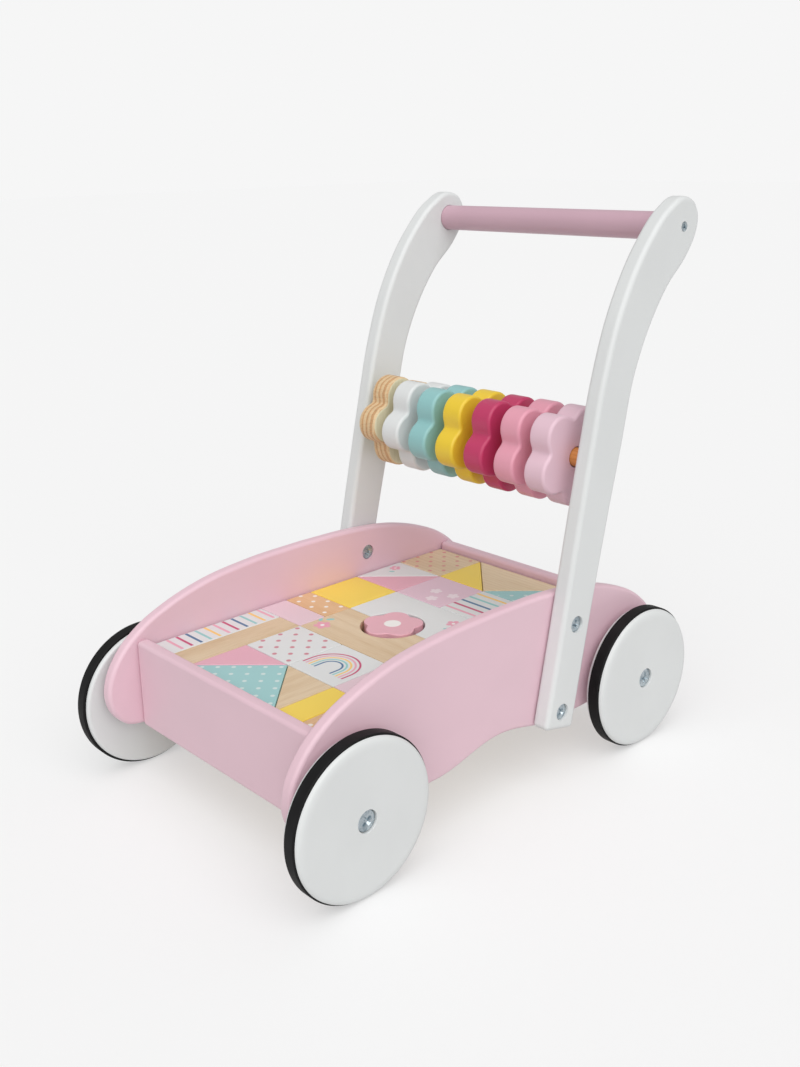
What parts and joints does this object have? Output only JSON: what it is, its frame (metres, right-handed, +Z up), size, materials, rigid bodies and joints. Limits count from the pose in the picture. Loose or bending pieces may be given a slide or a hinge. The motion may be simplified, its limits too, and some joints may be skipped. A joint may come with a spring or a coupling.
{
  "type": "baby walker",
  "caption": "Wooden baby walker with a tray of printed building blocks, rubber-tyred disc wheels, two curved arms, a push handle and flower beads on a rod.",
  "frame": {"origin": "on the ground under the middle of the walker", "axes": "+Z up, the front faces -Y, +X is the left side of the child who pushes"},
  "size_m": [0.2656, 0.3954, 0.415],
  "materials": {
    "panel_pink": "satin paint",
    "handle_pink": "satin paint",
    "white_paint": "satin paint",
    "natural_wood": "clear satin lacquer",
    "peach_stain": "stained, satin",
    "yellow_paint": "satin paint",
    "teal_paint": "satin paint",
    "raspberry_paint": "satin paint",
    "rose_paint": "satin paint",
    "light_pink_paint": "satin paint",
    "stained_rod": "bare, oiled",
    "plywood": "bare",
    "black_rubber": "matt",
    "zinc_steel": "zinc plated"
  },
  "bodies": {
    "frame": {"side_panel_left": "panel_pink", "arm_left": "white_paint", "handle_screw_left": "zinc_steel", "arm_bolt_lower_left": "zinc_steel", "arm_bolt_upper_left": "zinc_steel", "wheel_bolt_front_left": "zinc_steel", "wheel_bolt_rear_left": "zinc_steel", "side_panel_right": "panel_pink", "arm_right": "white_paint", "handle_screw_right": "zinc_steel", "arm_bolt_lower_right": "zinc_steel", "arm_bolt_upper_right": "zinc_steel", "wheel_bolt_front_right": "zinc_steel", "wheel_bolt_rear_right": "zinc_steel", "front_panel": "panel_pink", "rear_panel": "panel_pink", "tray_floor": "plywood", "handle_bar": "handle_pink", "abacus_rod": "stained_rod"},
    "wheel_body_front_left": {"wheel_front_left": "white_paint", "tyre_front_left": "black_rubber"},
    "wheel_body_rear_left": {"wheel_rear_left": "white_paint", "tyre_rear_left": "black_rubber"},
    "wheel_body_front_right": {"wheel_front_right": "white_paint", "tyre_front_right": "black_rubber"},
    "wheel_body_rear_right": {"wheel_rear_right": "white_paint", "tyre_rear_right": "black_rubber"},
    "bead_natural_body": {"bead_natural": "natural_wood"},
    "bead_white_body": {"bead_white": "white_paint"},
    "bead_teal_body": {"bead_teal": "teal_paint"},
    "bead_yellow_body": {"bead_yellow": "yellow_paint"},
    "bead_raspberry_body": {"bead_raspberry": "raspberry_paint"},
    "bead_rose_body": {"bead_rose": "rose_paint"},
    "bead_light_pink_body": {"bead_light_pink": "light_pink_paint"},
    "block_striped_plank_body": {"block_striped_plank": "white_paint"},
    "block_natural_plank_body": {"block_natural_plank": "natural_wood"},
    "block_rose_triangle_body": {"block_rose_triangle": "rose_paint"},
    "block_teal_gable_body": {"block_teal_gable": "teal_paint"},
    "block_natural_triangle_body": {"block_natural_triangle": "natural_wood"},
    "block_yellow_half_body": {"block_yellow_half": "yellow_paint"},
    "block_peach_half_left_body": {"block_peach_half_left": "peach_stain"},
    "block_dotted_square_body": {"block_dotted_square": "white_paint"},
    "block_rainbow_square_body": {"block_rainbow_square": "white_paint"},
    "block_light_pink_square_body": {"block_light_pink_square": "light_pink_paint"},
    "block_light_pink_half_body": {"block_light_pink_half": "light_pink_paint"},
    "block_peach_half_right_body": {"block_peach_half_right": "peach_stain"},
    "block_natural_bridge_body": {"block_natural_bridge": "natural_wood"},
    "block_white_bridge_body": {"block_white_bridge": "white_paint"},
    "block_flower_peg_body": {"block_flower_peg": "rose_paint"},
    "block_yellow_square_body": {"block_yellow_square": "yellow_paint"},
    "block_natural_long_body": {"block_natural_long": "natural_wood"},
    "block_white_triangle_body": {"block_white_triangle": "white_paint"},
    "block_rose_triangle_rear_body": {"block_rose_triangle_rear": "rose_paint"},
    "block_lilac_square_body": {"block_lilac_square": "light_pink_paint"},
    "block_striped_square_body": {"block_striped_square": "white_paint"},
    "block_natural_dotted_body": {"block_natural_dotted": "natural_wood"},
    "block_yellow_triangle_body": {"block_yellow_triangle": "yellow_paint"},
    "block_natural_gable_body": {"block_natural_gable": "natural_wood"},
    "block_teal_triangle_body": {"block_teal_triangle": "teal_paint"},
    "block_rose_long_body": {"block_rose_long": "rose_paint"}
  },
  "joints": [
    {"name": "wheel_front_left_spin", "type": "hinge", "parent": "frame", "child": "wheel_body_front_left", "pos_m": [0.1248, -0.1424, 0.05529], "axis": [1, 0, 0], "continuous": true},
    {"name": "wheel_rear_left_spin", "type": "hinge", "parent": "frame", "child": "wheel_body_rear_left", "pos_m": [0.1248, 0.1424, 0.05529], "axis": [1, 0, 0], "continuous": true},
    {"name": "wheel_front_right_spin", "type": "hinge", "parent": "frame", "child": "wheel_body_front_right", "pos_m": [-0.1248, -0.1424, 0.05529], "axis": [1, 0, 0], "continuous": true},
    {"name": "wheel_rear_right_spin", "type": "hinge", "parent": "frame", "child": "wheel_body_rear_right", "pos_m": [-0.1248, 0.1424, 0.05529], "axis": [1, 0, 0], "continuous": true},
    {"name": "bead_natural_spin", "type": "hinge", "parent": "frame", "child": "bead_natural_body", "pos_m": [-0.08704, 0.09334, 0.235], "axis": [1, 0, 0], "continuous": true},
    {"name": "bead_white_spin", "type": "hinge", "parent": "frame", "child": "bead_white_body", "pos_m": [-0.05992, 0.09334, 0.235], "axis": [1, 0, 0], "continuous": true},
    {"name": "bead_teal_spin", "type": "hinge", "parent": "frame", "child": "bead_teal_body", "pos_m": [-0.02973, 0.09334, 0.235], "axis": [1, 0, 0], "continuous": true},
    {"name": "bead_yellow_spin", "type": "hinge", "parent": "frame", "child": "bead_yellow_body", "pos_m": [0.00009, 0.09334, 0.235], "axis": [1, 0, 0], "continuous": true},
    {"name": "bead_raspberry_spin", "type": "hinge", "parent": "frame", "child": "bead_raspberry_body", "pos_m": [0.03046, 0.09334, 0.235], "axis": [1, 0, 0], "continuous": true},
    {"name": "bead_rose_spin", "type": "hinge", "parent": "frame", "child": "bead_rose_body", "pos_m": [0.06073, 0.09334, 0.235], "axis": [1, 0, 0], "continuous": true},
    {"name": "bead_light_pink_spin", "type": "hinge", "parent": "frame", "child": "bead_light_pink_body", "pos_m": [0.0901, 0.09334, 0.235], "axis": [1, 0, 0], "continuous": true},
    {"name": "block_striped_plank_lift", "type": "slide", "parent": "frame", "child": "block_striped_plank_body", "axis": [0, 0, 1], "range_m": [0, 0.08]},
    {"name": "block_natural_plank_lift", "type": "slide", "parent": "frame", "child": "block_natural_plank_body", "axis": [0, 0, 1], "range_m": [0, 0.08]},
    {"name": "block_rose_triangle_lift", "type": "slide", "parent": "frame", "child": "block_rose_triangle_body", "axis": [0, 0, 1], "range_m": [0, 0.08]},
    {"name": "block_teal_gable_lift", "type": "slide", "parent": "frame", "child": "block_teal_gable_body", "axis": [0, 0, 1], "range_m": [0, 0.08]},
    {"name": "block_natural_triangle_lift", "type": "slide", "parent": "frame", "child": "block_natural_triangle_body", "axis": [0, 0, 1], "range_m": [0, 0.08]},
    {"name": "block_yellow_half_lift", "type": "slide", "parent": "frame", "child": "block_yellow_half_body", "axis": [0, 0, 1], "range_m": [0, 0.08]},
    {"name": "block_peach_half_left_lift", "type": "slide", "parent": "frame", "child": "block_peach_half_left_body", "axis": [0, 0, 1], "range_m": [0, 0.08]},
    {"name": "block_dotted_square_lift", "type": "slide", "parent": "frame", "child": "block_dotted_square_body", "axis": [0, 0, 1], "range_m": [0, 0.08]},
    {"name": "block_rainbow_square_lift", "type": "slide", "parent": "frame", "child": "block_rainbow_square_body", "axis": [0, 0, 1], "range_m": [0, 0.08]},
    {"name": "block_light_pink_square_lift", "type": "slide", "parent": "frame", "child": "block_light_pink_square_body", "axis": [0, 0, 1], "range_m": [0, 0.08]},
    {"name": "block_light_pink_half_lift", "type": "slide", "parent": "frame", "child": "block_light_pink_half_body", "axis": [0, 0, 1], "range_m": [0, 0.08]},
    {"name": "block_peach_half_right_lift", "type": "slide", "parent": "frame", "child": "block_peach_half_right_body", "axis": [0, 0, 1], "range_m": [0, 0.08]},
    {"name": "block_natural_bridge_lift", "type": "slide", "parent": "frame", "child": "block_natural_bridge_body", "axis": [0, 0, 1], "range_m": [0, 0.08]},
    {"name": "block_white_bridge_lift", "type": "slide", "parent": "frame", "child": "block_white_bridge_body", "axis": [0, 0, 1], "range_m": [0, 0.08]},
    {"name": "block_flower_peg_lift", "type": "slide", "parent": "frame", "child": "block_flower_peg_body", "axis": [0, 0, 1], "range_m": [0, 0.08]},
    {"name": "block_yellow_square_lift", "type": "slide", "parent": "frame", "child": "block_yellow_square_body", "axis": [0, 0, 1], "range_m": [0, 0.08]},
    {"name": "block_natural_long_lift", "type": "slide", "parent": "frame", "child": "block_natural_long_body", "axis": [0, 0, 1], "range_m": [0, 0.08]},
    {"name": "block_white_triangle_lift", "type": "slide", "parent": "frame", "child": "block_white_triangle_body", "axis": [0, 0, 1], "range_m": [0, 0.08]},
    {"name": "block_rose_triangle_rear_lift", "type": "slide", "parent": "frame", "child": "block_rose_triangle_rear_body", "axis": [0, 0, 1], "range_m": [0, 0.08]},
    {"name": "block_lilac_square_lift", "type": "slide", "parent": "frame", "child": "block_lilac_square_body", "axis": [0, 0, 1], "range_m": [0, 0.08]},
    {"name": "block_striped_square_lift", "type": "slide", "parent": "frame", "child": "block_striped_square_body", "axis": [0, 0, 1], "range_m": [0, 0.08]},
    {"name": "block_natural_dotted_lift", "type": "slide", "parent": "frame", "child": "block_natural_dotted_body", "axis": [0, 0, 1], "range_m": [0, 0.08]},
    {"name": "block_yellow_triangle_lift", "type": "slide", "parent": "frame", "child": "block_yellow_triangle_body", "axis": [0, 0, 1], "range_m": [0, 0.08]},
    {"name": "block_natural_gable_lift", "type": "slide", "parent": "frame", "child": "block_natural_gable_body", "axis": [0, 0, 1], "range_m": [0, 0.08]},
    {"name": "block_teal_triangle_lift", "type": "slide", "parent": "frame", "child": "block_teal_triangle_body", "axis": [0, 0, 1], "range_m": [0, 0.08]},
    {"name": "block_rose_long_lift", "type": "slide", "parent": "frame", "child": "block_rose_long_body", "axis": [0, 0, 1], "range_m": [0, 0.08]}
  ]
}
